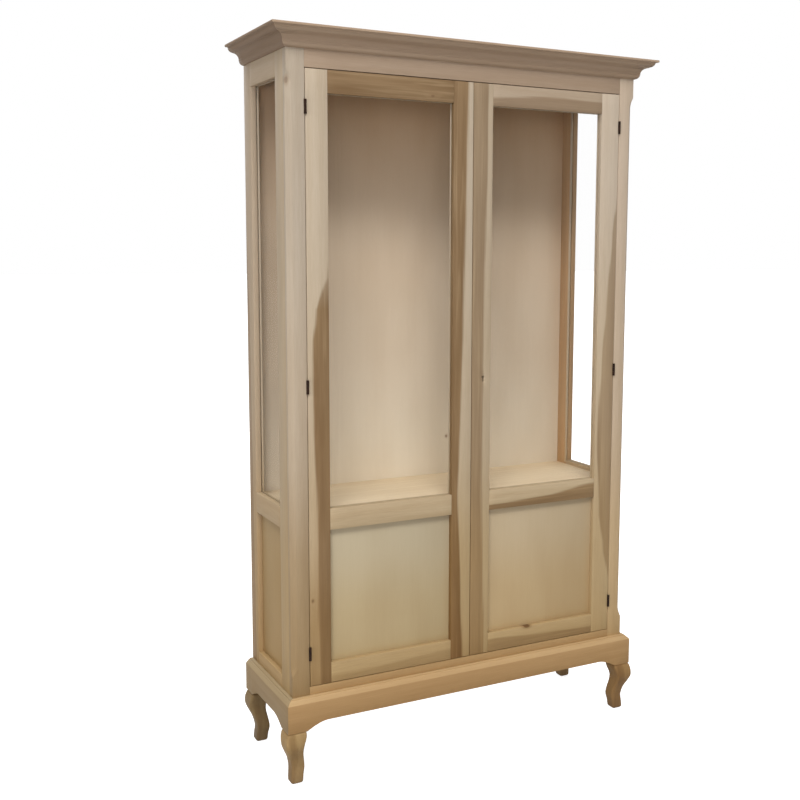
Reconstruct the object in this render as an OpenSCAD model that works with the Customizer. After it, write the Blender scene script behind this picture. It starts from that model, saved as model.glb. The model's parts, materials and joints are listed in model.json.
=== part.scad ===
// Tall glazed display cabinet on cabriole legs.
// X runs along the width, Y from the front to the back, Z up from the floor.
// The origin is on the floor, in the middle of the overall width and depth.

/* [Body] */
// Width of the cabinet body between the outer faces of its sides
body_w = 1200; // [1000:10:1400]
// Depth of the body from the door fronts to the back edge
body_d = 372; // [320:2:450]
// Height of the whole cabinet, cornice included
overall_h = 2200; // [1900:10:2400]
// Thickness of the face frame and of the side frames
frame_t = 26; // [24:1:32]
// Width of a front post of the face frame
post_w = 54; // [44:1:70]
// Height of the bottom rail under the doors
sill_h = 25; // [20:1:40]
// Height of the frieze rail that shows between the doors and the cornice
frieze_show = 50; // [30:1:80]
// Width of the stiles of the side frames
side_stile_w = 66; // [50:1:90]
// Height of the middle rails of the doors and the sides
mid_rail_h = 64; // [50:1:80]
// Height of the upper edge of the middle rails above the floor
mid_rail_top = 826; // [700:2:950]
// Thickness of the floor, shelf and top boards
board_t = 18; // [15:1:25]
// Thickness of the back panel
back_t = 6; // [4:0.5:10]

/* [Doors] */
// Width of the door stiles and of the top rail
stile_w = 67; // [55:1:80]
// Thickness of the doors
door_t = 26; // [24:1:28]
// Gap around and between the doors
door_gap = 2.4; // [2.2:0.1:3]
// Thickness of the glass panes
glass_t = 4; // [3:0.5:6]
// Thickness of the wooden panels
panel_t = 5; // [3:0.5:8]

/* [Cornice] */
// How far the cornice stands out from the body
cornice_out = 58; // [50:1:70]
// Height of the cornice
cornice_h = 58; // [54:1:70]

/* [Base] */
// Height of the legs under the plinth
leg_h = 165; // [140:1:190]
// Height of the plinth frame
plinth_h = 100; // [90:1:120]
// How far the plinth stands out from the body
plinth_out = 24; // [16:1:30]
// Thickness of the plinth boards
plinth_t = 46; // [44:1:60]
// Rise of the shaped lower edge of the plinth
arch_rise = 24; // [10:1:40]

/* [Details] */
// Size of the stopped chamfer on the front posts
chamfer = 15; // [8:0.5:20]
// Radius of the hinge knuckles
knuckle_r = 4; // [3.5:0.25:5]
// Radius of the hinge pins
pin_r = 2; // [1.5:0.25:2.5]
// Travel of the lock bolt
lock_travel = 8; // [5:0.5:10]
// Travel of the two sliding bolts of the left door
bolt_travel = 18; // [16:0.5:20]

/* [Hidden] */

wood = "burlywood";
dark_wood = "tan";
bronze = "darkslategray";
clear = "lightblue";

// Facets of round parts, points on a moulding's curve, and how far a cutter passes a face
round_fn = 64;
arc_n = 12;
eps = 0.5;

// Plinth edge, and the curved shoulders beside the legs
plinth_edge_w = 11;
plinth_edge_h = 14;
plinth_fillet = 2.5;
plinth_shoulder = 70;
shoulder_n = 16;

// Leg: height, outer offset and inner offset, both from the plinth corner
leg_block = 60;
leg_stations = [
    [0, 17, 49], [6, 14, 52], [26, 15, 54], [50, 17, 58], [78, 11, 54], [98, 2, 50],
    [116, -5.5, 49], [130, -7.5, 51.5], [148, -5.5, 57.5], [165, 0, 60]
];
curve_step = 0.25;
knee_out = 7.5;

// Cornice members from below: bead, cove, ovolo and top fillet, with small steps between them
step = 1;
bead_w = 14;
bead_h = 13;
cove_x = bead_w + step;
cove_z = bead_h + 3 * step;
cove_r = 19;
ovolo_x = cove_x + cove_r;
ovolo_z = cove_z + cove_r + step;
ovolo_w = 15;
fillet_h = 7;
ovolo_h = cornice_h - ovolo_z - fillet_h - step;
fillet_z = ovolo_z + ovolo_h + step;

// Where the stopped chamfers end, and how softly they run out
chamfer_low = 38;
chamfer_high = 33;
runout_r = 60;

// Levels and planes that everything else is placed from
front_y = (cornice_out - body_d) / 2;
back_y = front_y + body_d;
half_w = body_w / 2;
body_z = leg_h + plinth_h;
plinth_half = half_w + plinth_out;
plinth_front_y = front_y - plinth_out;
inner_x = half_w - frame_t;
frame_back_y = front_y + frame_t;
door_z0 = body_z + sill_h;
door_z1 = overall_h - cornice_h - frieze_show;
cornice_z = overall_h - cornice_h;
door_x0 = half_w - post_w;
mid_rail_z = mid_rail_top - mid_rail_h;

// Rebates that hold the panes and panels from behind
rebate_w = 8;
rebate_play = 1;
bead_gap = 0.2;
lip_t = 17;

// Side frame openings
rear_stile_less = 4;
side_y0 = frame_back_y + side_stile_w;
side_y1 = back_y - side_stile_w + rear_stile_less;
side_bottom_rail_h = 40;
side_top_rail_show = 69;
side_low_z0 = body_z + side_bottom_rail_h;
side_high_z1 = cornice_z - side_top_rail_show;

// Door openings, measured on the right door and mirrored for the left one
leaf_x0 = door_gap / 2;
door_back_y = front_y + door_t;
leaf_x1 = door_x0 - door_gap;
leaf_z0 = door_z0 + door_gap;
leaf_z1 = door_z1 - door_gap;
open_x0 = leaf_x0 + stile_w;
open_x1 = leaf_x1 - stile_w;
bottom_rail_h = 62;
top_rail_less = 2;
low_z0 = leaf_z0 + bottom_rail_h;
low_z1 = mid_rail_z;
high_z0 = mid_rail_top;
high_z1 = leaf_z1 - stile_w + top_rail_less;

// Boards inside
inside_y1 = back_y - back_t;
top_drop = 6;
shelf_drop = 13;
shelf_top = mid_rail_top - shelf_drop;
shelf_y0 = door_back_y + 30;
cleat = 20;
cleat_y0 = shelf_y0 + 8;
cleat_y1 = inside_y1 - 10;

// Hinges
knuckle_out = 3;
hinge_x = door_x0 - door_gap / 2;
hinge_y = front_y - knuckle_out;
low_hinge_in = 100;
high_hinge_in = 105;
hinge_levels = [leaf_z0 + low_hinge_in, (leaf_z0 + leaf_z1) / 2, leaf_z1 - high_hinge_in];
knuckle_h = 13;
knuckle_gap = 0.5;
leaf_t = 1;
leaf_w = 16;
pin_play = 0.05;
knuckle_room = 0.5;
hinge_h = 3 * knuckle_h + 2 * knuckle_gap;

// Lock in the right door and bolts behind the left door
lock_z = leaf_z0 + (leaf_z1 - leaf_z0) / 2;
lock_h = 60;
lock_w = 50;
lock_t = 12;
lock_back = 3;
lock_bolt_h = 20;
lock_bolt_t = 6;
lock_bolt_l = 26;
key_in = 39.5;
key_x = leaf_x0 + key_in;
key_r = 4.8;
key_slot_w = 6.4;
key_slot_h = 14;
bolt_r = 4;
bolt_grip = 92;
bolt_l = bolt_grip + bolt_travel;
bolt_out = 8;
bolt_x = -leaf_x0 - stile_w / 2;
bolt_y = door_back_y + bolt_out;
bolt_end_in = 1;
guide_w = 18;
guide_h = 12;
guide_depth = 14;
slide_play = 0.1;
keeper_play = 2;
keeper_depth = 18;
keeper_z = door_z1 + 2;
guide_in = 15;
knob_r = 5;
knob_l = 9;
knob_at = 0.42;
upper_bolt_z1 = leaf_z1 - bolt_end_in;
lower_bolt_z0 = leaf_z0 + bolt_end_in;

// Draws its children as they are and mirrored to the other side
module both_sides() {
    children();
    mirror([1, 0, 0]) children();
}

// Block between two corners
module block(a, b) {
    translate(a) cube(b - a);
}

// Front post with a stopped chamfer that runs out in a curve at both ends
module front_post() {
    difference() {
        block([door_x0, front_y, body_z], [half_w, frame_back_y, overall_h]);
        stopped_chamfer(body_z + chamfer_low, cornice_z - chamfer_high);
        hinge_room();
    }
}

// Cutter whose outline, seen along the chamfered face, is a bar with rounded ends
module stopped_chamfer(z0, z1) {
    depth = chamfer / sqrt(2);
    reach = 2 * depth;
    translate([half_w, front_y, 0])
        rotate([0, 0, -45])
            translate([0, reach, 0])
                rotate([90, 0, 0])
                    linear_extrude(2 * reach) {
                        translate([-depth, z0 + runout_r])
                            square([3 * depth, z1 - z0 - 2 * runout_r]);
                        translate([runout_r - depth, z0 + runout_r]) circle(runout_r, $fn = round_fn);
                        translate([runout_r - depth, z1 - runout_r]) circle(runout_r, $fn = round_fn);
                    }
}

// Room for the knuckles in the edges beside a hinge
module hinge_room() {
    for (z = hinge_levels)
        translate([hinge_x, hinge_y, z - hinge_h / 2 - knuckle_room])
            cylinder(r = knuckle_r + knuckle_room, h = hinge_h + 2 * knuckle_room, $fn = round_fn);
}

module frieze_rail() {
    block([-door_x0, front_y, door_z1], [door_x0, frame_back_y, overall_h]);
}

module sill_rail() {
    block([-door_x0, front_y, body_z], [door_x0, frame_back_y, door_z0]);
}

// Rebates behind both openings of the right side frame
module side_rebates() {
    block([inner_x - eps, side_y0 - rebate_w, side_low_z0 - rebate_w],
          [half_w - lip_t, side_y1 + rebate_w, mid_rail_z + rebate_w]);
    block([inner_x - eps, side_y0 - rebate_w, mid_rail_top - rebate_w],
          [half_w - lip_t, side_y1 + rebate_w, side_high_z1 + rebate_w]);
}

module side_front_stile() {
    difference() {
        block([inner_x, frame_back_y, body_z], [half_w, side_y0, overall_h]);
        side_rebates();
    }
}

module side_rear_stile() {
    difference() {
        block([inner_x, side_y1, body_z], [half_w, back_y, overall_h]);
        side_rebates();
        block([inner_x - eps, inside_y1, body_z - eps],
              [inner_x + back_t, back_y + eps, overall_h + eps]);
    }
}

module side_rails() {
    difference() {
        union() {
            block([inner_x, side_y0, body_z], [half_w, side_y1, side_low_z0]);
            block([inner_x, side_y0, mid_rail_z], [half_w, side_y1, mid_rail_top]);
            block([inner_x, side_y0, side_high_z1], [half_w, side_y1, overall_h]);
        }
        side_rebates();
    }
}

// Sheet of the given thickness seated against the lip of a side opening
module side_sheet(z0, z1, t) {
    grip = rebate_w - rebate_play;
    block([half_w - lip_t - t, side_y0 - grip, z0 - grip],
          [half_w - lip_t, side_y1 + grip, z1 + grip]);
}

module side_panel() {
    side_sheet(side_low_z0, mid_rail_z, panel_t);
}

module side_glass() {
    side_sheet(mid_rail_top, side_high_z1, glass_t);
}

// Four strips, in the plane of X and Y, that line the inside of a rebate around an opening
module bead_strips(w, h, t) {
    for (x = [-rebate_w, w])
        translate([x, -rebate_w, 0]) cube([rebate_w, h + 2 * rebate_w, t]);
    for (y = [-rebate_w, h])
        translate([bead_gap, y, 0]) cube([w - 2 * bead_gap, rebate_w, t]);
}

module side_bead_ring(z0, z1, t) {
    translate([inner_x, side_y0, z0])
        rotate([90, 0, 90])
            bead_strips(side_y1 - side_y0, z1 - z0, frame_t - lip_t - t);
}

module side_beads() {
    both_sides() {
        side_bead_ring(side_low_z0, mid_rail_z, panel_t);
        side_bead_ring(mid_rail_top, side_high_z1, glass_t);
    }
}

module back_panel() {
    block([-inner_x - back_t, inside_y1, body_z], [inner_x + back_t, back_y, overall_h]);
}

module top_board() {
    block([-inner_x, frame_back_y, overall_h - top_drop - board_t],
          [inner_x, inside_y1, overall_h - top_drop]);
}

// Floor with the hole that takes the end of the lower bolt
module floor_board() {
    difference() {
        block([-inner_x, frame_back_y, body_z], [inner_x, inside_y1, body_z + board_t]);
        translate([bolt_x, bolt_y, body_z - eps])
            cylinder(r = bolt_r + keeper_play, h = board_t + 2 * eps, $fn = round_fn);
    }
}

module shelf_board() {
    block([-inner_x, shelf_y0, shelf_top - board_t], [inner_x, inside_y1, shelf_top]);
}

module shelf_cleats() {
    both_sides()
        block([inner_x - cleat, cleat_y0, shelf_top - board_t - cleat],
              [inner_x, cleat_y1, shelf_top - board_t]);
}

// Quarter of an ellipse about a centre, from one angle to another
function arc(c, rx, ry, a0, a1) =
    [for (i = [0:arc_n]) let (a = a0 + (a1 - a0) * i / arc_n) [c[0] + rx * cos(a), c[1] + ry * sin(a)]];

// Cornice section: a bead, a cove, an ovolo and a square top fillet, one above the other
function cornice_section() = concat(
    arc([0, bead_h], bead_w, bead_h, -90, 0),
    [[cove_x, bead_h]],
    arc([ovolo_x, cove_z], cove_r, cove_r, 180, 90),
    arc([ovolo_x, ovolo_z + ovolo_h], ovolo_w, ovolo_h, -90, 0),
    [
        [ovolo_x + ovolo_w + 2 * step, fillet_z - step],
        [ovolo_x + ovolo_w + 2 * step, fillet_z],
        [cornice_out - step, fillet_z],
        [cornice_out, fillet_z + step],
        [cornice_out, cornice_h - step],
        [cornice_out - step, cornice_h],
        [0, cornice_h]
    ]
);

// Keeps what lies between the body and the mitre planes of a front corner
module front_mitre(reach) {
    linear_extrude(overall_h + eps)
        polygon([[-half_w, front_y], [half_w, front_y],
                 [half_w + reach, front_y - reach], [-half_w - reach, front_y - reach]]);
}

module side_mitre(reach) {
    linear_extrude(overall_h + eps)
        polygon([[half_w, front_y], [half_w + reach, front_y - reach],
                 [half_w + reach, back_y], [half_w, back_y]]);
}

module cornice_front() {
    intersection() {
        translate([-half_w - cornice_out, front_y, cornice_z])
            rotate([90, 0, 90])
                linear_extrude(body_w + 2 * cornice_out)
                    polygon([for (p = cornice_section()) [-p[0], p[1]]]);
        front_mitre(cornice_out);
    }
}

module cornice_side() {
    intersection() {
        translate([half_w, back_y, cornice_z])
            rotate([90, 0, 0])
                linear_extrude(body_d + cornice_out)
                    polygon(cornice_section());
        side_mitre(cornice_out);
    }
}

// Plinth section: flat face, bevelled edge, small fillet and a flat ledge to the body
function plinth_section() = [
    [plinth_out - plinth_t, 0],
    [plinth_out, 0],
    [plinth_out, plinth_h - plinth_edge_h],
    [plinth_out - plinth_edge_w, plinth_h - plinth_fillet],
    [plinth_out - plinth_edge_w - plinth_fillet, plinth_h - plinth_fillet],
    [plinth_out - plinth_edge_w - plinth_fillet, plinth_h],
    [plinth_out - plinth_t, plinth_h]
];

// Shape that is cut from under a plinth board: two curved shoulders and a flat top
module arch_cut(l, foot) {
    shoulder = min(plinth_shoulder, (l - 2 * foot) / 3);
    rise = [for (i = [0:shoulder_n])
            let (s = i / shoulder_n) [foot + shoulder * s, arch_rise * sin(90 * s)]];
    fall = [for (i = [shoulder_n:-1:0])
            let (s = i / shoulder_n) [l - foot - shoulder * s, arch_rise * sin(90 * s)]];
    polygon(concat([[foot, -2 * eps]], rise, fall, [[l - foot, -2 * eps]]));
}

module plinth_front() {
    inset = plinth_t - plinth_out;
    l = 2 * plinth_half;
    difference() {
        intersection() {
            translate([-plinth_half, front_y, leg_h])
                rotate([90, 0, 90])
                    linear_extrude(l)
                        polygon([for (p = plinth_section()) [-p[0], p[1]]]);
            linear_extrude(body_z + eps)
                polygon([[-half_w + inset, front_y + inset], [half_w - inset, front_y + inset],
                         [plinth_half, plinth_front_y], [-plinth_half, plinth_front_y]]);
        }
        translate([-plinth_half, front_y + inset + 2 * eps, leg_h])
            rotate([90, 0, 0])
                linear_extrude(plinth_t + 4 * eps) arch_cut(l, leg_block);
    }
}

module plinth_side() {
    inset = plinth_t - plinth_out;
    l = back_y - plinth_front_y;
    difference() {
        intersection() {
            translate([half_w, back_y, leg_h])
                rotate([90, 0, 0])
                    linear_extrude(l)
                        polygon(plinth_section());
            linear_extrude(body_z + eps)
                polygon([[half_w - inset, front_y + inset], [plinth_half, plinth_front_y],
                         [plinth_half, back_y], [half_w - inset, back_y]]);
        }
        translate([half_w - inset - 2 * eps, plinth_front_y, leg_h])
            rotate([90, 0, 90])
                linear_extrude(plinth_t + 4 * eps) arch_cut(l, leg_block);
    }
}

module plinth_back() {
    x = half_w - (plinth_t - plinth_out);
    block([-x, back_y - plinth_t, leg_h], [x, back_y, body_z]);
}

// Point on a smooth curve through the stations, where u counts stations
function station(i) = leg_stations[max(0, min(len(leg_stations) - 1, i))];
function leg_curve(u) =
    let (i = floor(u), t = u - i,
         a = station(i - 1), b = station(i), c = station(i + 1), d = station(i + 2))
    0.5 * (2 * b + (c - a) * t + (2 * a - 5 * b + 4 * c - d) * t * t
           + (3 * b - a - 3 * c + d) * t * t * t);

// Square leg with an S-shaped outline that is the same seen from the front and the side
module leg() {
    last = len(leg_stations) - 1;
    steps = concat([0, 1], [for (u = [1 + curve_step:curve_step:last]) u]);
    rise = leg_h / station(last)[0];
    curve = [for (u = steps) leg_curve(u)];
    outline = concat(
        [for (p = curve) [p[1], p[0] * rise]],
        [for (i = [len(curve) - 1:-1:0]) [curve[i][2], curve[i][0] * rise]]
    );
    reach = 2 * leg_block;
    translate([plinth_half, plinth_front_y, 0])
        intersection() {
            translate([0, reach, 0])
                rotate([90, 0, 0])
                    linear_extrude(2 * reach)
                        polygon([for (p = outline) [-p[0], p[1]]]);
            translate([-reach, 0, 0])
                rotate([90, 0, 90])
                    linear_extrude(2 * reach)
                        polygon(outline);
        }
}

module rear_leg() {
    translate([0, back_y + plinth_front_y - knee_out, 0]) mirror([0, 1, 0]) leg();
}

// Rebates behind both openings of the right door
module door_rebates() {
    y0 = front_y + lip_t;
    y1 = front_y + door_t + eps;
    block([open_x0 - rebate_w, y0, low_z0 - rebate_w], [open_x1 + rebate_w, y1, low_z1 + rebate_w]);
    block([open_x0 - rebate_w, y0, high_z0 - rebate_w],
          [open_x1 + rebate_w, y1, high_z1 + rebate_w]);
}

module door_hinge_stile() {
    difference() {
        block([open_x1, front_y, leaf_z0], [leaf_x1, front_y + door_t, leaf_z1]);
        door_rebates();
        hinge_room();
    }
}

module door_meeting_stile() {
    difference() {
        block([leaf_x0, front_y, leaf_z0], [open_x0, front_y + door_t, leaf_z1]);
        door_rebates();
    }
}

// Keyhole: a round hole with a slot below it
module keyhole(y0, y1) {
    translate([key_x, y1, lock_z]) rotate([90, 0, 0]) cylinder(r = key_r, h = y1 - y0, $fn = round_fn);
    block([key_x - key_slot_w / 2, y0, lock_z - key_slot_h],
          [key_x + key_slot_w / 2, y1, lock_z]);
}

module right_door_meeting_stile() {
    difference() {
        door_meeting_stile();
        keyhole(front_y - eps, front_y + door_t + eps);
        lock_room();
    }
}

// Mortise for the lock case in the back of the stile
module lock_room() {
    block([leaf_x0 - eps, door_back_y - lock_t, lock_z - lock_h / 2],
          [leaf_x0 + lock_w, door_back_y + eps, lock_z + lock_h / 2]);
}

module left_door_meeting_stile() {
    room = 1;
    difference() {
        mirror([1, 0, 0]) door_meeting_stile();
        block([door_gap / 2 - lock_travel - 2 * room - door_gap,
               door_back_y - lock_back - lock_bolt_t - room, lock_z - lock_bolt_h / 2 - room],
              [eps - leaf_x0, door_back_y - lock_back + room, lock_z + lock_bolt_h / 2 + room]);
    }
}

module door_rail(z0, z1) {
    difference() {
        block([open_x0, front_y, z0], [open_x1, front_y + door_t, z1]);
        door_rebates();
    }
}

module door_sheet(z0, z1, t) {
    grip = rebate_w - rebate_play;
    block([open_x0 - grip, front_y + lip_t, z0 - grip],
          [open_x1 + grip, front_y + lip_t + t, z1 + grip]);
}

module door_bead_ring(z0, z1, t) {
    translate([open_x0, door_back_y, z0])
        rotate([90, 0, 0])
            bead_strips(open_x1 - open_x0, z1 - z0, door_t - lip_t - t);
}

module door_beads() {
    door_bead_ring(low_z0, low_z1, panel_t);
    door_bead_ring(high_z0, high_z1, glass_t);
}

module top_rail() { door_rail(high_z1, leaf_z1); }
module mid_rail() { door_rail(mid_rail_z, mid_rail_top); }
module bottom_rail() { door_rail(leaf_z0, low_z0); }
module door_glass() { door_sheet(high_z0, high_z1, glass_t); }
module door_panel() { door_sheet(low_z0, low_z1, panel_t); }

// Frame side of the hinges: outer knuckles on their pin, and the leaf on the post
module frame_hinge_set() {
    for (z = hinge_levels) {
        translate([hinge_x, hinge_y, z - hinge_h / 2]) {
            cylinder(r = knuckle_r, h = knuckle_h, $fn = round_fn);
            cylinder(r = pin_r, h = hinge_h, $fn = round_fn);
            translate([0, 0, hinge_h - knuckle_h]) cylinder(r = knuckle_r, h = knuckle_h, $fn = round_fn);
        }
        block([door_x0 - leaf_t, hinge_y + knuckle_r + knuckle_room, z - hinge_h / 2],
              [door_x0, front_y + leaf_w, z + hinge_h / 2]);
        for (z0 = [z - hinge_h / 2, z + hinge_h / 2 - knuckle_h])
            block([door_x0 - leaf_t, hinge_y + pin_r + knuckle_room, z0],
                  [door_x0, hinge_y + knuckle_r + 2 * knuckle_room, z0 + knuckle_h]);
    }
}

// Door side of the hinges: the middle knuckle with its bore, and the leaf on the door
module door_hinge_set() {
    for (z = hinge_levels)
        difference() {
            union() {
                translate([hinge_x, hinge_y, z - knuckle_h / 2])
                    cylinder(r = knuckle_r, h = knuckle_h, $fn = round_fn);
                block([leaf_x1, hinge_y + pin_r + knuckle_room, z - knuckle_h / 2],
                      [leaf_x1 + leaf_t, hinge_y + knuckle_r + 2 * knuckle_room, z + knuckle_h / 2]);
                block([leaf_x1, hinge_y + knuckle_r + knuckle_room, z - hinge_h / 2],
                      [leaf_x1 + leaf_t, front_y + leaf_w, z + hinge_h / 2]);
            }
            translate([hinge_x, hinge_y, z - hinge_h])
                cylinder(r = pin_r + pin_play, h = 2 * hinge_h, $fn = round_fn);
        }
}

// Lock case, open at the edge of the door for its bolt
module lock_case() {
    difference() {
        block([leaf_x0, door_back_y - lock_t, lock_z - lock_h / 2],
              [leaf_x0 + lock_w, door_back_y, lock_z + lock_h / 2]);
        block([leaf_x0 - eps, door_back_y - lock_back - lock_bolt_t - slide_play,
               lock_z - lock_bolt_h / 2 - slide_play],
              [leaf_x0 + lock_bolt_l + slide_play, door_back_y - lock_back + slide_play,
               lock_z + lock_bolt_h / 2 + slide_play]);
        keyhole(door_back_y - lock_t - eps, door_back_y - lock_back);
    }
}

module lock_bolt() {
    block([leaf_x0, door_back_y - lock_back - lock_bolt_t, lock_z - lock_bolt_h / 2],
          [leaf_x0 + lock_bolt_l, door_back_y - lock_back, lock_z + lock_bolt_h / 2]);
}

// Sliding bolt: a rod with a finger knob
module slide_bolt() {
    translate([bolt_x, bolt_y, 0]) {
        cylinder(r = bolt_r, h = bolt_l, $fn = round_fn);
        translate([0, 0, bolt_l * knob_at])
            rotate([-90, 0, 0]) cylinder(r = knob_r, h = bolt_r + knob_l, $fn = round_fn);
    }
}

module upper_bolt() {
    translate([0, 0, upper_bolt_z1 - bolt_l]) slide_bolt();
}

module lower_bolt() {
    translate([0, 0, lower_bolt_z0 + bolt_l]) mirror([0, 0, 1]) slide_bolt();
}

// Block with a bore that guides a sliding bolt
module guide_block(z) {
    difference() {
        block([bolt_x - guide_w / 2, door_back_y, z - guide_h / 2],
              [bolt_x + guide_w / 2, door_back_y + guide_depth, z + guide_h / 2]);
        translate([bolt_x, bolt_y, z - guide_h])
            cylinder(r = bolt_r + slide_play, h = 2 * guide_h, $fn = round_fn);
    }
}

module bolt_guides() {
    for (z = [lower_bolt_z0 + guide_in, lower_bolt_z0 + bolt_l - guide_in,
              upper_bolt_z1 - bolt_l + guide_in, upper_bolt_z1 - guide_in])
        guide_block(z);
}

// Block behind the frieze rail that takes the end of the upper bolt
module bolt_keeper() {
    difference() {
        block([bolt_x - guide_w / 2, frame_back_y, keeper_z],
              [bolt_x + guide_w / 2, frame_back_y + keeper_depth, keeper_z + guide_h]);
        translate([bolt_x, bolt_y, door_z1])
            cylinder(r = bolt_r + keeper_play, h = 2 * guide_h, $fn = round_fn);
    }
}

color(wood) mirror([1, 0, 0]) front_post();  // front_post_left
color(wood) front_post();  // front_post_right
color(dark_wood) frieze_rail();
color(wood) sill_rail();
color(wood) mirror([1, 0, 0]) side_front_stile();  // left_side_front_stile
color(wood) mirror([1, 0, 0]) side_rear_stile();  // left_side_rear_stile
color(wood) mirror([1, 0, 0]) side_rails();  // left_side_rails
color(wood) mirror([1, 0, 0]) side_panel();  // left_side_panel
color(clear) mirror([1, 0, 0]) side_glass();  // left_side_glass
color(wood) side_front_stile();  // right_side_front_stile
color(wood) side_rear_stile();  // right_side_rear_stile
color(wood) side_rails();  // right_side_rails
color(wood) side_panel();  // right_side_panel
color(clear) side_glass();  // right_side_glass
color(wood) side_beads();
color(wood) back_panel();
color(wood) top_board();
color(wood) floor_board();
color(wood) shelf_board();
color(wood) shelf_cleats();
color(dark_wood) cornice_front();
color(dark_wood) mirror([1, 0, 0]) cornice_side();  // cornice_left
color(dark_wood) cornice_side();  // cornice_right
color(wood) plinth_front();
color(wood) mirror([1, 0, 0]) plinth_side();  // plinth_left
color(wood) plinth_side();  // plinth_right
color(wood) plinth_back();
color(wood) mirror([1, 0, 0]) leg();  // leg_front_left
color(wood) leg();  // leg_front_right
color(wood) mirror([1, 0, 0]) rear_leg();  // leg_rear_left
color(wood) rear_leg();  // leg_rear_right
color(wood) mirror([1, 0, 0]) door_hinge_stile();  // left_door_hinge_stile
color(wood) left_door_meeting_stile();
color(wood) mirror([1, 0, 0]) top_rail();  // left_door_top_rail
color(wood) mirror([1, 0, 0]) mid_rail();  // left_door_mid_rail
color(wood) mirror([1, 0, 0]) bottom_rail();  // left_door_bottom_rail
color(clear) mirror([1, 0, 0]) door_glass();  // left_door_glass
color(wood) mirror([1, 0, 0]) door_panel();  // left_door_panel
color(wood) mirror([1, 0, 0]) door_beads();  // left_door_beads
color(wood) door_hinge_stile();  // right_door_hinge_stile
color(wood) right_door_meeting_stile();
color(wood) top_rail();  // right_door_top_rail
color(wood) mid_rail();  // right_door_mid_rail
color(wood) bottom_rail();  // right_door_bottom_rail
color(clear) door_glass();  // right_door_glass
color(wood) door_panel();  // right_door_panel
color(wood) door_beads();  // right_door_beads
color(bronze) both_sides() frame_hinge_set();  // frame_hinge_leaves
color(bronze) mirror([1, 0, 0]) door_hinge_set();  // left_door_hinge_leaves
color(bronze) door_hinge_set();  // right_door_hinge_leaves
color(bronze) lock_case();
color(bronze) lock_bolt();
color(bronze) bolt_guides();
color(bronze) bolt_keeper();
color(bronze) upper_bolt();
color(bronze) lower_bolt();
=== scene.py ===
# Tall display cabinet in raw poplar: glazed doors over wooden panels, on short curved legs
import json
import math

import bmesh
import bpy
from mathutils import Matrix, Vector


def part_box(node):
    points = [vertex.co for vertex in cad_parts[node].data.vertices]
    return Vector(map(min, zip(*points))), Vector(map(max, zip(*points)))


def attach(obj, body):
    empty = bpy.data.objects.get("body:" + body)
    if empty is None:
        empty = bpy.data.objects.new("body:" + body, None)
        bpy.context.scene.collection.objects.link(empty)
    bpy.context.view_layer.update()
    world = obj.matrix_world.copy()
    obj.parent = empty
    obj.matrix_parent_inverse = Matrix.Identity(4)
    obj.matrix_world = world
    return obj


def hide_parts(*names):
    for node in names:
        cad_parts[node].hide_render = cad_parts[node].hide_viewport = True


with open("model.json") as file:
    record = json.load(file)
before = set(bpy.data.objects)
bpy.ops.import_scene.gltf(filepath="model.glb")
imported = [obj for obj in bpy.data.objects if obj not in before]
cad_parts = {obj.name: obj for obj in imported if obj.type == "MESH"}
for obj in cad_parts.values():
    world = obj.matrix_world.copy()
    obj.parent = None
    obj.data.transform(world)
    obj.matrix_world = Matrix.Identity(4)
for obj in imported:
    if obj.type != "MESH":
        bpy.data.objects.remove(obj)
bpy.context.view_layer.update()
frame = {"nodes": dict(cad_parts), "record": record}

nodes = frame["nodes"]
bodyOf = {n: b for b, members in frame["record"]["behaviour"]["bodies"].items() for n in members}
slotOf = {s["node"]: s["material_slot"] for s in frame["record"]["subparts"]}


def linear(r, g, b):
    # screen colour, 0 to 255, to the colour that the shader takes
    def one(c):
        c = c / 255
        return c / 12.92 if c < 0.04045 else ((c + 0.055) / 1.055) ** 2.4
    return (one(r), one(g), one(b), 1)


def grey(level):
    return (level, level, level, 1)


def addObject(name, data):
    added = bpy.data.objects.new(name, data)
    bpy.context.scene.collection.objects.link(added)
    return added


# camera and lights

cameraSettings = {
    "place": (-1.6738, -3.0946, 1.5925),  # metres
    "turn": -27.97, "tilt": -6.75, "roll": 0.28,  # degrees
    "lens": 49.13, "film": 36,  # millimetres
    "shift": (-0.0493, -0.0286),
}


def makeCamera(s):
    data = bpy.data.cameras.new("viewCamera")
    data.lens = s["lens"]
    data.sensor_width = s["film"]
    data.shift_x, data.shift_y = s["shift"]
    camera = addObject("viewCamera", data)
    turn = Matrix.Rotation(math.radians(s["turn"]), 4, "Z")
    tilt = Matrix.Rotation(math.radians(90 + s["tilt"]), 4, "X")
    roll = Matrix.Rotation(math.radians(s["roll"]), 4, "Z")
    camera.matrix_world = Matrix.Translation(s["place"]) @ turn @ tilt @ roll
    bpy.context.scene.camera = camera


lightSettings = {
    "key": {"at": (-2.9, -5.7, 8.1), "aim": (0, 0, 1.1), "size": (6.5, 2.2), "power": 560,
            "colour": (1, 0.99, 0.97)},
    "side": {"at": (-5.0, -1.6, 3.0), "aim": (-0.6, 0, 1.1), "size": (2.4, 2.4), "power": 33,
             "colour": (1, 1, 1)},
    "front": {"at": (-3.4, -5.7, 1.5), "aim": (0, 0, 1.0), "size": (3.5, 2.0), "power": 125,
              "colour": (0.99, 0.99, 1)},
    "rear": {"at": (0.2, 6.5, 3.6), "aim": (0, 0, 1.2), "size": (4.0, 2.5), "power": 170,
             "colour": (1, 1, 1)},
}


def makeLight(name, s):
    data = bpy.data.lights.new(name, "AREA")
    data.shape = "RECTANGLE"
    data.size, data.size_y = s["size"]
    data.energy = s["power"]
    data.color = s["colour"]
    lamp = addObject(name, data)
    lamp.location = s["at"]
    lamp.rotation_euler = (Vector(s["aim"]) - Vector(s["at"])).to_track_quat("-Z", "Y").to_euler()


# shader maths

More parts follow.
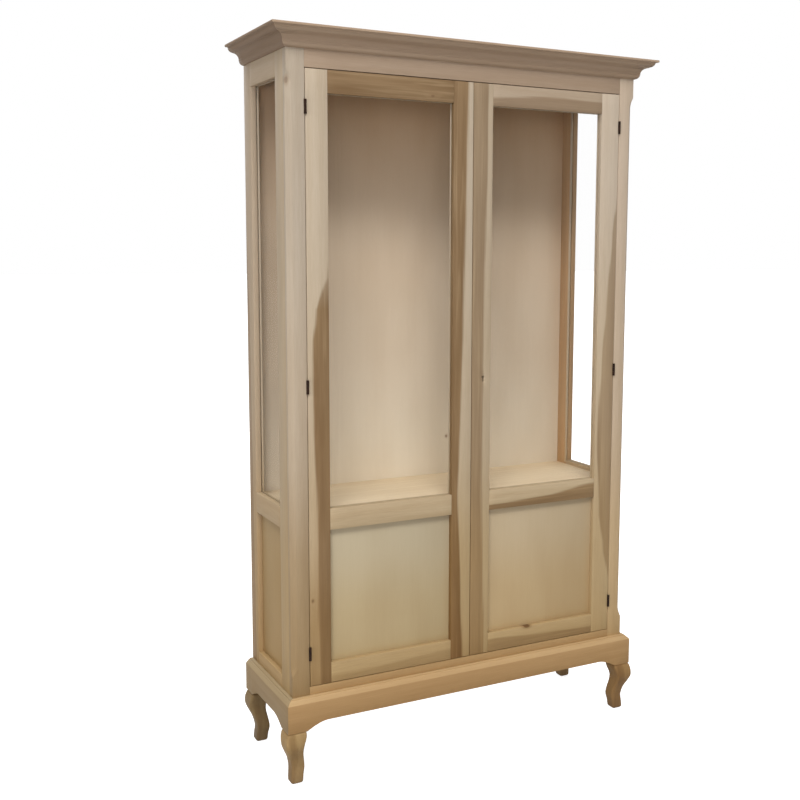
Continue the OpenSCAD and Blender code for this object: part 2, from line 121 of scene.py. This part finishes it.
class Wire:
    # a socket that Python's own operators work on
    def __init__(self, tree, socket):
        self.tree = tree
        self.socket = socket

    def join(self, kind, *values):
        return self.tree.node("ShaderNodeMath", {"operation": kind}, dict(enumerate(values)))

    def most(self, other):
        return self.join("MAXIMUM", self, other)

    def sine(self):
        return self.join("SINE", self)

    def other(self, output):
        # another output of the same node
        return Wire(self.tree, self.socket.node.outputs[output])

    def __add__(self, other): return self.join("ADD", self, other)
    def __radd__(self, other): return self.join("ADD", other, self)
    def __sub__(self, other): return self.join("SUBTRACT", self, other)
    def __rsub__(self, other): return self.join("SUBTRACT", other, self)
    def __mul__(self, other): return self.join("MULTIPLY", self, other)
    def __rmul__(self, other): return self.join("MULTIPLY", other, self)
    def __pow__(self, other): return self.join("POWER", self, other)


class Shader:
    # the node tree of a material or of the room
    def __init__(self, tree):
        self.nodes = tree.nodes
        self.links = tree.links

    def node(self, kind, settings=None, inputs=None, out=0):
        made = self.nodes.new(kind)
        for key, value in (settings or {}).items():
            setattr(made, key, value)
        for key, value in (inputs or {}).items():
            self.feed(made.inputs[key], value)
        return Wire(self, made.outputs[out])

    def feed(self, socket, value):
        if isinstance(value, Wire):
            self.links.new(value.socket, socket)
        else:
            socket.default_value = value

    def set(self, target, **sockets):
        for key, value in sockets.items():
            self.feed(self.nodes[target].inputs[key.replace("_", " ")], value)

    def objectPlace(self):
        return self.node("ShaderNodeTexCoord", out="Object")

    def attribute(self, name, out="Fac"):
        return self.node("ShaderNodeAttribute", {"attribute_name": name}, out=out)

    def scaled(self, vector, factors):
        return self.node("ShaderNodeVectorMath", {"operation": "MULTIPLY"}, {0: vector, 1: factors})

    def noise(self, vector, scale, detail, rough, warp=0.0):
        return self.node("ShaderNodeTexNoise", None,
                         {"Vector": vector, "Scale": scale, "Detail": detail, "Roughness": rough,
                          "Distortion": warp})

    def mix(self, factor, a, b, blend="MIX"):
        return self.node("ShaderNodeMix", {"data_type": "RGBA", "blend_type": blend},
                         {0: factor, 6: a, 7: b}, out=2)

    def smooth(self, value, low, high):
        # 0 at low and 1 at high, with a soft change between them
        return self.node("ShaderNodeMapRange", {"interpolation_type": "SMOOTHSTEP"},
                         {0: value, 1: low, 2: high})

    def spread(self, value, low, high):
        # low where the value is 0 and high where it is 1
        return self.node("ShaderNodeMapRange", None, {0: value, 3: low, 4: high})

    def bump(self, strength, distance, height):
        return self.node("ShaderNodeBump", None,
                         {"Strength": strength, "Distance": distance, "Height": height})

    def parts(self, vector):
        x = self.node("ShaderNodeSeparateXYZ", None, {0: vector}, out="X")
        return x, x.other("Y"), x.other("Z")


def newFinish(name):
    material = bpy.data.materials.new(name)
    material.use_nodes = True
    return material, Shader(material.node_tree)


# raw poplar

poplarColours = {
    "sap": linear(197, 181, 159),
    "sapDeep": linear(178, 158, 132),
    "heart": linear(143, 117, 85),
    "heartDeep": linear(110, 83, 52),
    "heartPale": linear(163, 138, 105),
    "pore": linear(116, 92, 64),
    "knot": linear(104, 76, 52),
    "knotRim": linear(138, 110, 80),
}
poplarNoise = {
    # repeats in a metre along, across and through the board; then detail, roughness and warp
    "drift": ((1.1, 9, 9), 3, 0.55),
    "fray": ((3.5, 130, 130), 3, 0.6),
    "mottle": ((3, 9, 9), 1, 0.4),
    "cloud": ((1.6, 22, 22), 4, 0.6),
    "streak": ((2.4, 75, 75), 3, 0.6, 0.3),
    "fibre": ((16, 900, 900), 4, 0.65),
    "pore": ((28, 1500, 1500), 2, 0.5),
    "ragged": ((40, 120, 120), 2, 0.5),
}
poplarLook = {
    # two numbers are the ends of a soft change, unless a note says what they are
    "seam": (-0.003, 0.003), "seamDepth": 0.2,
    "nextBoard": (3.1, 1.7, 0),  # how far the grain is moved past the seam
    "edgeDrift": 0.6, "edgeFray": 0.4, "heartEdge": (-0.14, 0.16),
    "bands": 210, "bandDrift": 9, "bandFray": 1.2, "bandSwirl": 6, "ring": (-0.5, 1.0),
    "cloudFigure": (0.08, 0.35),  # plain boards have the broad mottle in place of clouds
    "sapCloud": (0.3, 0.75), "sapRing": 0.25, "coreCloud": (0.3, 0.72), "coreDepth": 0.75, "coreRing": 0.3,
    "streak": (0.5, 0.72), "streakDepth": 0.55, "fibreLevel": 0.1, "pore": (0.60, 0.74),
    # in a plain board, and how much full figure adds
    "sapDepth": (0.2, 0.65), "fibreDepth": (0.07, 0.95), "poreDepth": (0.01, 0.32),
    # in knot sizes from the middle of the knot
    "ragged": 0.5, "swirl": (6, 1), "knotRim": (1.9, 0.9), "rimDepth": 0.6, "knot": (1.0, 0.55),
    "roughness": 0.6, "roughCloud": 0.16, "smoothHeart": 0.05, "specular": 0.3,
    "bump": 0.25, "bumpHeight": 0.0006, "bumpFibre": 0.7, "bumpRing": 0.2, "bumpPore": 0.4,
}


def poplar(name, c, noises, p):
    # pale sapwood, olive brown heartwood streaks and fine straight fibres
    material, s = newFinish(name)
    across = s.attribute("across")
    seam = s.smooth(across - s.attribute("seam"), *p["seam"])
    grain = s.node("ShaderNodeVectorMath", {"operation": "MULTIPLY_ADD"},
                   {0: p["nextBoard"], 1: seam, 2: s.attribute("grainAt", "Vector")})
    tintAndShade = s.attribute("boardTintAndShade", "Color")
    figure = s.attribute("boardTintAndShade", "Alpha")

    def noise(key):
        # between 0 and 1, mostly near 0.5
        repeats, *rest = noises[key]
        return s.noise(s.scaled(grain, repeats), 1.0, *rest)

    def byFigure(key):
        plain, added = p[key]
        return figure * added + plain

    # distance from the board's knot, in knot sizes; far away where the board has none
    knotX, knotY, knotDepth = s.parts(s.attribute("knotFrom", "Vector"))
    knotAway = (knotX * knotX + knotY * knotY) ** 0.5 + (noise("ragged") - 0.5) * p["ragged"]
    swirl = s.smooth(knotAway, *p["swirl"])
    drift = noise("drift") - 0.5
    fray = noise("fray") - 0.5
    # the heartwood lies between two lines along the board, with wandering and frayed edges
    edge = across + drift * p["edgeDrift"] + fray * p["edgeFray"]
    heart = (s.smooth(edge - s.attribute("heartLow"), *p["heartEdge"])
             * s.smooth(s.attribute("heartHigh") - edge, *p["heartEdge"]) * s.attribute("heartDepth"))
    # growth bands bend with the slow drift and round the knot
    band = (s.parts(grain)[1] * p["bands"] + drift * p["bandDrift"] + fray * p["bandFray"]
            + swirl * p["bandSwirl"])
    ring = s.smooth(band.sine(), *p["ring"]) * figure
    mottle = noise("mottle")
    cloud = mottle + (noise("cloud") - mottle) * s.smooth(figure, *p["cloudFigure"])
    streak = s.smooth(noise("streak"), *p["streak"])
    fibre = noise("fibre")
    pore = s.smooth(noise("pore"), *p["pore"])

    sapDeep = s.smooth(cloud, *p["sapCloud"]) * byFigure("sapDepth") + ring * p["sapRing"]
    sap = s.mix(sapDeep, c["sap"], c["sapDeep"])
    coreDeep = s.smooth(cloud, *p["coreCloud"]) * p["coreDepth"] + ring * p["coreRing"]
    core = s.mix(coreDeep, c["heart"], c["heartDeep"])
    core = s.mix(streak * p["streakDepth"], core, c["heartPale"])
    wood = s.mix(heart, sap, core)
    wood = s.mix((fibre - 0.5) * byFigure("fibreDepth") + p["fibreLevel"], wood, c["pore"])
    wood = s.mix(pore * byFigure("poreDepth"), wood, c["pore"])
    wood = s.mix(s.smooth(knotAway, *p["knotRim"]) * knotDepth * p["rimDepth"], wood, c["knotRim"])
    wood = s.mix(s.smooth(knotAway, *p["knot"]) * knotDepth, wood, c["knot"])
    wood = s.mix(seam * p["seamDepth"], wood, c["sapDeep"])
    # the board's tint, partly its own colour and partly painted light and shade: shade by height and paler
    # faces that look up
    wood = s.mix(1.0, wood, tintAndShade, "MULTIPLY")
    height = fibre * p["bumpFibre"] + ring * p["bumpRing"] - pore * p["bumpPore"]
    s.set("Principled BSDF", Base_Color=wood, Specular_IOR_Level=p["specular"],
          Roughness=p["roughness"] + cloud * p["roughCloud"] - heart * p["smoothHeart"],
          Normal=s.bump(p["bump"], p["bumpHeight"], height))
    return material


# hinges, lock and bolts

bronzeLook = {
    "colours": (linear(32, 20, 13), linear(52, 34, 24)), "worn": (0.35, 0.7),
    "patch": (90, 4, 0.6), "speck": (900, 2, 0.5),  # repeats in a metre, detail and roughness
    "metallic": 0.1, "specular": 0.12, "roughness": 0.55, "roughPatch": 0.2,
    "bump": 0.2, "bumpHeight": 0.0002,
}


def bronze(name, p):
    # dark bronze, a little uneven, with a fine speckled skin
    material, s = newFinish(name)
    place = s.objectPlace()
    patch = s.noise(place, *p["patch"])
    speck = s.noise(place, *p["speck"])
    s.set("Principled BSDF", Base_Color=s.mix(s.smooth(patch, *p["worn"]), *p["colours"]),
          Metallic=p["metallic"], Roughness=p["roughness"] + patch * p["roughPatch"],
          Normal=s.bump(p["bump"], p["bumpHeight"], speck), Specular_IOR_Level=p["specular"])
    return material


# panes

glassLook = {
    "colour": linear(150, 160, 155), "roughness": 0.03, "roughSmear": 0.04,
    "smear": (6, 3, 0.5),  # repeats in a metre, detail and roughness
    "least": 0.004, "gloss": 0.3, "glossPower": 8, "coat": 0.4, "ior": 1.5,
}


def clearGlass(name, p):
    # almost nothing seen straight on, a pale gloss at a flat angle
    material, s = newFinish(name)
    smear = s.noise(s.objectPlace(), *p["smear"])
    facing = s.node("ShaderNodeLayerWeight", out="Facing")
    s.set("Principled BSDF", Base_Color=p["colour"], Roughness=p["roughness"] + smear * p["roughSmear"],
          Alpha=p["least"] + facing ** p["glossPower"] * p["gloss"], IOR=p["ior"], Coat_Weight=p["coat"])
    material.surface_render_method = "BLENDED"
    return material


# boards

boardDefaults = {
    "grain": "z", "across": "x",  # axes along the grain and over the face
    "edge": 0.0012, "rounds": 2,  # size of the rounded edges in metres, and their steps
    "cuts": 14,  # parts along the grain, so that colours can change along it
    # heartwood: share of the length, its two edges there, where the board's own are -1 and 1, and a
    # share of its depth where it fades
    "heart": [(0, 3, 4), (1, 3, 4)], "depth": 1.0,
    "seam": 9,  # place of a glued seam, past 1 for none
    "figure": 0.4,  # how strong the grain is
    "seed": 1,  # which part of the grain this board is cut from
    # colour of each board, partly its own and partly painted light and shade, set board by board
    "tintAndShade": (1, 1, 1),
    # painted light and shade by height above the floor: the height and the colour there, yellower and darker
    # low down, greyer high up
    "shadeByHeight": [(0.15, 0.83, 0.68, 0.4), (0.55, 0.94, 0.84, 0.62), (1.1, 1, 0.98, 0.93), (1.8, 1, 1, 1)],
    "rearTones": None,  # for the rear face alone, used there in place of the painted light and shade by height
    "ledge": (1, 1, 1),  # painted light: how much paler the faces that look up are, as if lit from above
    # knot: place along and across the grain in metres, its length, its width and how dark it is
    "knot": (90, 90, 1, 1, 0),
}
boardMesh = {
    "merge": 0.00001,  # metres within which points are one
    "flat": 0.5, "sharp": 35, "shade": 32,  # degrees: faces merged, edges rounded, faces shaded smooth
    "thin": 0.001,  # metres, the least half width of a board
    "shift": (3.7, 0.91),  # metres along and across the grain from one seed to the next
}
boardAttributes = {
    "grainAt": "FLOAT_VECTOR", "across": "FLOAT", "heartLow": "FLOAT", "heartHigh": "FLOAT",
    "heartDepth": "FLOAT", "seam": "FLOAT", "knotFrom": "FLOAT_VECTOR", "boardTintAndShade": "FLOAT_COLOR",
}
attributeWords = {"FLOAT": "value", "FLOAT_VECTOR": "vector", "FLOAT_COLOR": "color"}


def between(table, u):
    # values of a short table at u, with a soft change between its rows
    if u <= table[0][0]:
        return table[0][1:]
    for a, b in zip(table, table[1:]):
        if u <= b[0]:
            t = (u - a[0]) / (b[0] - a[0])
            t = t * t * (3 - 2 * t)
            return [p + (q - p) * t for p, q in zip(a[1:], b[1:])]
    return table[-1][1:]


def solidCopy(name, edge, rounds):
    # the node's solid with merged faces and small rounded outer edges
    mesh = bmesh.new()
    mesh.from_mesh(nodes[name].data)
    bmesh.ops.remove_doubles(mesh, verts=mesh.verts, dist=boardMesh["merge"])
    bmesh.ops.dissolve_limit(mesh, angle_limit=math.radians(boardMesh["flat"]), verts=mesh.verts,
                             edges=mesh.edges)
    if edge:
        least = math.radians(boardMesh["sharp"])
        sharp = [e for e in mesh.edges if len(e.link_faces) == 2 and e.calc_face_angle_signed(0) > least]
        bmesh.ops.bevel(mesh, geom=sharp, offset=edge, offset_type="OFFSET", segments=rounds, profile=0.5,
                        affect="EDGES", material=-1, clamp_overlap=True)
    return mesh


def cutAcross(mesh, axis, start, reach, parts):
    for i in range(1, parts):
        point, normal = Vector((0, 0, 0)), Vector((0, 0, 0))
        point[axis] = start + reach * i / parts
        normal[axis] = 1
        bmesh.ops.bisect_plane(mesh, geom=mesh.verts[:] + mesh.edges[:] + mesh.faces[:],
                               plane_co=point, plane_no=normal)


def paintBoard(data, s, low, high, along, over):
    # what the wood needs to know at each point, as attributes of the mesh
    deep = 3 - along - over
    middle = (low + high) / 2
    half = max(boardMesh["thin"], (high[over] - low[over]) / 2)
    shiftAlong, shiftOver = boardMesh["shift"]
    knotAlong, knotOver, knotLong, knotWide, knotDepth = s["knot"]
    values = {key: [] for key in boardAttributes}
    for v in data.vertices:
        side = v.co[over] - middle[over]
        share = (v.co[along] - low[along]) / (high[along] - low[along])
        heartLow, heartHigh, *fade = between(s["heart"], share)
        values["grainAt"] += [v.co[along] + s["seed"] * shiftAlong, side + s["seed"] * shiftOver,
                              v.co[deep] - middle[deep]]
        values["across"].append(side / half)
        values["heartLow"].append(heartLow)
        values["heartHigh"].append(heartHigh)
        values["heartDepth"].append(s["depth"] * (fade[0] if fade else 1))
        values["seam"].append(s["seam"])
        values["knotFrom"] += [(v.co[along] - knotAlong) / knotLong, (v.co[over] - knotOver) / knotWide,
                               knotDepth]
        # painted light and shade: the colour is changed by height, and faces that look up are made paler
        shadeByHeight = s["rearTones"] if s["rearTones"] and v.co[deep] > middle[deep] else s["shadeByHeight"]
        up = max(0, v.normal.z)
        shades = zip(s["tintAndShade"], between(shadeByHeight, v.co.z), s["ledge"])
        values["boardTintAndShade"] += [a * b * (1 + (c - 1) * up) for a, b, c in shades] + [s["figure"]]
    for key, kind in boardAttributes.items():
        data.attributes.new(key, kind, "POINT")
        data.attributes[key].data.foreach_set(attributeWords[kind], values[key])


def dressBoard(name, material, **chosen):
    s = {**boardDefaults, **chosen}
    low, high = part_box(name)
    along, over = "xyz".index(s["grain"]), "xyz".index(s["across"])
    mesh = solidCopy(name, s["edge"], s["rounds"])
    cutAcross(mesh, along, low[along], high[along] - low[along], s["cuts"])
    for face in mesh.faces:
        face.smooth = True
    data = bpy.data.meshes.new(name + "Wood")
    mesh.to_mesh(data)
    mesh.free()
    for e in data.edges:
        e.use_edge_sharp = False
    data.set_sharp_from_angle(angle=math.radians(boardMesh["shade"]))
    paintBoard(data, s, low, high, along, over)
    data.materials.append(material)
    piece = addObject(name + "Wood", data)
    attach(piece, bodyOf[name])
    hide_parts(name)


poplarWood = poplar("poplarWood", poplarColours, poplarNoise, poplarLook)
bronzeFinish = bronze("bronzeFinish", bronzeLook)
glassFinish = clearGlass("glassFinish", glassLook)
print("materials made")

makeCamera(cameraSettings)
for lampName, settings in lightSettings.items():
    makeLight(lampName + "Light", settings)
print("camera and lights made")

rail = {"grain": "x", "across": "z"}
sideRail = {"grain": "y", "across": "z"}
sideStile = {"across": "y"}
flatBoard = {"grain": "x", "across": "y"}
beadEdge = 0.0008

# in the tables below, the colours by height are painted light and shade, and the tints are partly so
frontFrame = {
    "front_post_left": {
        "shadeByHeight": [(0.15, 0.6, 0.47, 0.27), (0.55, 0.7, 0.6, 0.44), (1.1, 0.93, 0.91, 0.9),
                  (1.8, 0.91, 0.93, 0.98)],
        "seed": 2, "knot": (2.054, -0.596, 0.011, 0.0045, 0.45)},
    "front_post_right": {"tintAndShade": (1.08, 1.06, 1.09), "seed": 3},
    "frieze_rail": {**rail, "tintAndShade": (0.8, 0.72, 0.69), "seed": 4},
    "sill_rail": {**rail, "tintAndShade": (0.93, 0.84, 0.78), "seed": 5},
}
sideFrames = {
    "left_side_front_stile": {**sideStile, "tintAndShade": (0.94, 0.91, 0.86), "seed": 6},
    "left_side_rear_stile": {
        **sideStile, "heart": [(0, -0.3, 1.8), (0.5, 0.2, 1.8), (0.8, 1.1, 1.8), (1, 3, 4)], "depth": 0.6,
        "tintAndShade": (0.9, 0.86, 0.84), "seed": 7},
    # painted light on the faces of the rails that look up
    "left_side_rails": {**sideRail, "tintAndShade": (0.93, 0.88, 0.83), "ledge": (1.15, 1.22, 1.3), "seed": 8},
    "left_side_panel": {**sideStile, "tintAndShade": (0.87, 0.81, 0.7), "seed": 9, "figure": 0.15},
    "right_side_front_stile": {**sideStile, "tintAndShade": (1.15, 1.15, 1.17), "seed": 45},
    "right_side_rear_stile": {
        **sideStile, "heart": [(0, -1.8, 1.8), (1, -1.8, 1.8)], "depth": 0.45, "tintAndShade": (1.14, 0.96, 0.79),
        "seed": 46},
    "right_side_rails": {**sideRail, "seed": 47},
    "right_side_panel": {**sideStile, "seed": 48, "figure": 0.15},
}
carcase = {
    "side_beads": {**sideStile, "seed": 10, "edge": beadEdge},
    "back_panel": {
        # painted light: the pale tint and the brighter tones low down; painted shadow: the dark brown tones
        # at the top, under the top rail; the rear face keeps an even tone instead
        "tintAndShade": (1.3, 1.29, 1.28), "seed": 11, "edge": 0.0006, "figure": 0.1,
        "shadeByHeight": [(0.85, 1.06, 1.14, 1.2), (1.3, 0.98, 0.99, 1), (1.6, 0.98, 0.96, 0.95),
                  (1.85, 0.87, 0.8, 0.74), (2.05, 0.73, 0.57, 0.44), (2.11, 0.75, 0.7, 0.64)],
        "rearTones": [(0.2, 0.8, 0.78, 0.74), (1.8, 0.8, 0.78, 0.74)],
        "heart": [(0, -1.8, -0.7), (0.6, -1.8, -0.62), (1, -1.8, -0.6)], "depth": 0.2,
        "knot": (0.942, 0.108, 0.006, 0.005, 0.6)},
    "top_board": {**flatBoard, "seed": 12},
    "floor_board": {**flatBoard, "seed": 13},
    # the pale tint is painted light on the shelf
    "shelf_board": {**flatBoard, "seed": 14, "tintAndShade": (1.62, 1.76, 1.98)},
    "shelf_cleats": {**sideRail, "seed": 15},
}
# the darker tints are painted shade on the cornice, deepest on its left side
cornice = {
    "cornice_front": {**rail, "tintAndShade": (0.81, 0.71, 0.66), "seed": 16, "edge": 0},
    "cornice_left": {**sideRail, "tintAndShade": (0.45, 0.365, 0.305), "seed": 17, "edge": 0},
    "cornice_right": {**sideRail, "tintAndShade": (0.72, 0.66, 0.62), "seed": 18, "edge": 0},
}
# the faces of the plinth that look up get painted light
plinthDefaults = {"edge": 0.001, "ledge": (1.3, 1.48, 1.75)}
plinth = {
    "plinth_front": {**rail, **plinthDefaults, "tintAndShade": (0.98, 0.87, 0.83), "seed": 19},
    # the darker tint on the left side is painted shade
    "plinth_left": {**sideRail, **plinthDefaults, "tintAndShade": (0.67, 0.66, 0.69), "seed": 20},
    "plinth_right": {**sideRail, **plinthDefaults, "tintAndShade": (0.9, 0.82, 0.8), "seed": 21},
    "plinth_back": {**rail, "tintAndShade": (0.95, 0.85, 0.82), "seed": 22},
}
legDefaults = {
    "edge": 0.007, "rounds": 4, "tintAndShade": (0.86, 0.8, 0.7), "figure": 0.7,
    "heart": [(0, -0.7, 0.0), (0.5, -0.4, 0.3), (1, -0.8, -0.1)], "depth": 0.4,
    # painted shade: the legs darken towards the floor
    "shadeByHeight": [(0, 0.6, 0.5, 0.34), (0.09, 0.8, 0.68, 0.45), (0.165, 0.85, 0.74, 0.5)],
}
legs = {
    "leg_front_left": {**legDefaults, "seed": 23},
    "leg_front_right": {**legDefaults, "tintAndShade": (0.7, 0.58, 0.44), "seed": 24},
    # the dark tint is a painted shadow on the rear left leg
    "leg_rear_left": {**legDefaults, "tintAndShade": (0.5, 0.47, 0.41), "seed": 25},
    "leg_rear_right": {**legDefaults, "seed": 26},
}
lockEdge = 0.0009  # less than half of the thin wall beside the lock's mortises
leftDoor = {
    "left_door_hinge_stile": {
        "heart": [(0, 0.0, 1.8, 0.6), (0.14, -0.23, 1.8, 0.7), (0.3, -0.33, 1.8, 0.9), (0.43, -0.54, 1.8, 1),
                  (0.56, -0.5, 1.8, 1), (0.62, -0.15, 1.8, 1), (0.68, 0.9, 1.8, 0.55), (0.76, 1.5, 1.8, 0.1),
                  (1, 3, 4, 0)],
        "shadeByHeight": [(0.15, 0.57, 0.42, 0.22), (0.45, 0.68, 0.54, 0.33), (0.8, 0.9, 0.82, 0.68),
                  (1.2, 1, 0.98, 0.94), (1.8, 1, 1, 1)],
        "cuts": 40, "seed": 31, "knot": (0.553, -0.534, 0.006, 0.005, 0.5)},
    "left_door_meeting_stile": {
        "heart": [(0, -1.8, 0.25), (0.13, -1.8, 0.0), (0.29, -1.8, -0.35), (0.45, -1.8, -0.1),
                  (0.6, -1.8, 0.1), (1, -1.8, 0.45)],
        "shadeByHeight": [(0.15, 0.76, 0.6, 0.33), (0.55, 0.88, 0.77, 0.54), (1.1, 1, 0.98, 0.93), (1.8, 1, 1, 1)],
        "cuts": 40, "seed": 32, "edge": lockEdge},
    "left_door_top_rail": {
        **rail, "heart": [(0, -1.8, 1.8), (1, -1.8, 1.8)], "seed": 33,
        "knot": (-0.14, 2.04, 0.007, 0.004, 0.5)},
    "left_door_mid_rail": {**rail, "seed": 34, "figure": 0.6},
    "left_door_bottom_rail": {
        **rail, "heart": [(0, -1.8, -0.5), (1, -1.8, 0.2)], "depth": 0.22, "seed": 35, "figure": 0.6},
    "left_door_panel": {
        "shadeByHeight": [(0.2, 0.83, 0.71, 0.42), (0.45, 0.92, 0.86, 0.65), (0.74, 0.98, 1, 0.91)],
        "seed": 36, "figure": 0.1},
    "left_door_beads": {"seed": 37, "edge": beadEdge},
}
rightDoor = {
    "right_door_hinge_stile": {
        "heart": [(0, 1.7, 1.8), (0.09, 1.2, 1.8), (0.16, 0.3, 1.8), (0.24, -0.3, 1.8), (0.37, -0.8, 1.8),
                  (0.53, -0.38, 1.8), (0.61, -0.05, 1.8), (0.745, 0.44, 1.8), (0.835, 1.0, 1.8),
                  (1, 1.7, 1.8)],
        "shadeByHeight": [(0.15, 0.83, 0.68, 0.4), (0.55, 0.94, 0.84, 0.62), (1.1, 1.02, 0.98, 0.9),
                  (1.9, 1.12, 1.14, 1.2)],
        "cuts": 40, "depth": 0.62, "seed": 38},
    "right_door_meeting_stile": {
        "heart": [(0, -1.8, 0.5), (0.3, -1.8, 0.2), (0.6, -1.8, 0.2), (1, -1.8, 0.5)],
        "cuts": 30, "depth": 0.7, "tintAndShade": (0.93, 0.92, 0.9), "seed": 39, "edge": lockEdge},
    "right_door_top_rail": {
        **rail, "heart": [(0, -1.8, -0.2), (0.5, -1.8, 0.1), (1, -1.8, 0.0)], "depth": 0.6,
        "tintAndShade": (0.84, 0.8, 0.78), "seed": 40},
    "right_door_mid_rail": {
        **rail, "heart": [(0, -1.8, -0.6), (0.45, -1.8, -0.3), (1, -1.8, 0.5)], "depth": 0.85,
        "seed": 41, "figure": 0.6},
    "right_door_bottom_rail": {
        **rail, "heart": [(0, -1.8, 0.4), (0.5, -1.8, 0.0), (1, -1.8, -0.3)], "depth": 0.55,
        "seed": 42, "knot": (0.218, 0.354, 0.014, 0.006, 0.9)},
    "right_door_panel": {
        "shadeByHeight": [(0.2, 0.83, 0.66, 0.37), (0.45, 0.95, 0.84, 0.61), (0.74, 1.03, 1, 0.88)],
        "seed": 43, "seam": 0.126, "figure": 0.1},
    "right_door_beads": {"seed": 44, "edge": beadEdge},
}

for group in (frontFrame, sideFrames, carcase, cornice, plinth, legs, leftDoor, rightDoor):
    for name, chosen in group.items():
        dressBoard(name, poplarWood, **chosen)
print("wooden pieces dressed")

slotFinishes = {"bronze": bronzeFinish, "glass": glassFinish}
for name, node in nodes.items():
    if slotOf[name] in slotFinishes:
        node.data.materials.clear()
        node.data.materials.append(slotFinishes[slotOf[name]])
print("panes and fittings finished")


# floor and room, white to the camera

floorSettings = {
    "reach": 60,  # metres from the middle to an edge
    "level": 0.8, "bounce": 0.3,  # how pale it is to the camera, and for the light that it throws back
    "glow": 0.82, "far": 0.2,  # shine near the cabinet, and what is added far off
    "fade": (1.2, 6.0),  # metres between which it is added
    "roughness": 0.9,
}
roomSettings = {
    "light": (0.06, 0.62),  # on the object, from the horizon and from straight above
    "shown": 1,  # where the room itself is seen
}


def makeFloor(s):
    # keeps the soft shadow of the cabinet
    mesh = bmesh.new()
    bmesh.ops.create_grid(mesh, x_segments=1, y_segments=1, size=s["reach"])
    data = bpy.data.meshes.new("floor")
    mesh.to_mesh(data)
    mesh.free()
    material, shader = newFinish("whiteFloor")
    path = shader.node("ShaderNodeLightPath", out="Is Camera Ray")
    seen = path.most(path.other("Is Glossy Ray"))
    away = shader.node("ShaderNodeVectorMath", {"operation": "LENGTH"}, {0: shader.objectPlace()},
                       out="Value")
    glow = shader.mix(shader.smooth(away, *s["fade"]), grey(s["glow"]), grey(s["glow"] + s["far"]))
    shader.set("Principled BSDF", Base_Color=shader.mix(seen, grey(s["bounce"]), grey(s["level"])),
               Roughness=s["roughness"], Emission_Color=shader.mix(seen, grey(0), glow),
               Emission_Strength=1.0)
    data.materials.append(material)
    floor = addObject("floor", data)


def makeRoom(s):
    # brighter above than at the sides, and plain white where the camera, gloss or glass shows it
    world = bpy.context.scene.world or bpy.data.worlds.new("whiteRoom")
    bpy.context.scene.world = world
    world.use_nodes = True
    shader = Shader(world.node_tree)
    path = shader.node("ShaderNodeLightPath", out="Is Camera Ray")
    seen = path.most(path.other("Is Transmission Ray")).most(path.other("Is Glossy Ray"))
    height = shader.parts(shader.node("ShaderNodeTexCoord", out="Generated"))[2]
    light = shader.spread(height, *s["light"])
    shader.set("Background", Color=grey(1), Strength=shader.spread(seen, light, s["shown"]))


makeFloor(floorSettings)
makeRoom(roomSettings)
bpy.context.scene.view_settings.view_transform = "Standard"
print("floor and room made")
